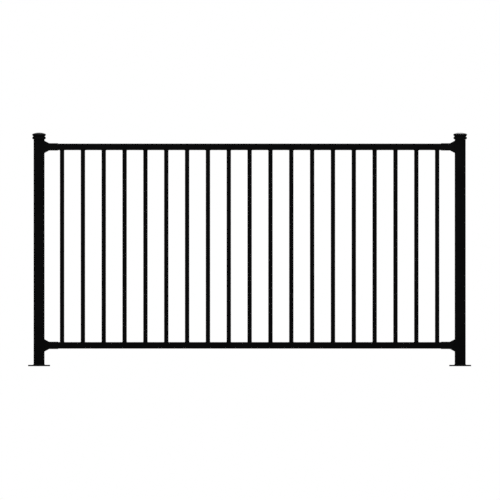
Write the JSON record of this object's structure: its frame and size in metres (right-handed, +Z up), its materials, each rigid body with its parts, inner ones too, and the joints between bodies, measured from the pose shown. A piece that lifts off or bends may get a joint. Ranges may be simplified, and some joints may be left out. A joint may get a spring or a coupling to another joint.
{
  "type": "ornamental metal fence panel",
  "caption": "Black metal fence panel: square pickets welded between top and bottom rails, held by flared cast brackets on square posts with moulded caps and base plates.",
  "frame": {"origin": "centre of the underside of the left base plate, on the ground", "axes": "+X along the fence from the left post to the right post, +Y to the back, +Z up"},
  "size_m": [2.5654, 0.127, 1.3526],
  "materials": {
    "powder_coat_tube": "satin",
    "powder_coat_cast": "satin"
  },
  "bodies": {
    "root": {"left_post": "powder_coat_tube", "right_post": "powder_coat_tube", "left_base_plate": "powder_coat_tube", "right_base_plate": "powder_coat_tube", "top_rail": "powder_coat_tube", "bottom_rail": "powder_coat_tube", "picket_01": "powder_coat_tube", "picket_02": "powder_coat_tube", "picket_03": "powder_coat_tube", "picket_04": "powder_coat_tube", "picket_05": "powder_coat_tube", "picket_06": "powder_coat_tube", "picket_07": "powder_coat_tube", "picket_08": "powder_coat_tube", "picket_09": "powder_coat_tube", "picket_10": "powder_coat_tube", "picket_11": "powder_coat_tube", "picket_12": "powder_coat_tube", "picket_13": "powder_coat_tube", "picket_14": "powder_coat_tube", "picket_15": "powder_coat_tube", "picket_16": "powder_coat_tube", "picket_17": "powder_coat_tube", "picket_18": "powder_coat_tube", "picket_19": "powder_coat_tube", "left_post_cap": "powder_coat_cast", "right_post_cap": "powder_coat_cast", "top_left_bracket": "powder_coat_cast", "top_right_bracket": "powder_coat_cast", "bottom_left_bracket": "powder_coat_cast", "bottom_right_bracket": "powder_coat_cast"}
  },
  "joints": []
}
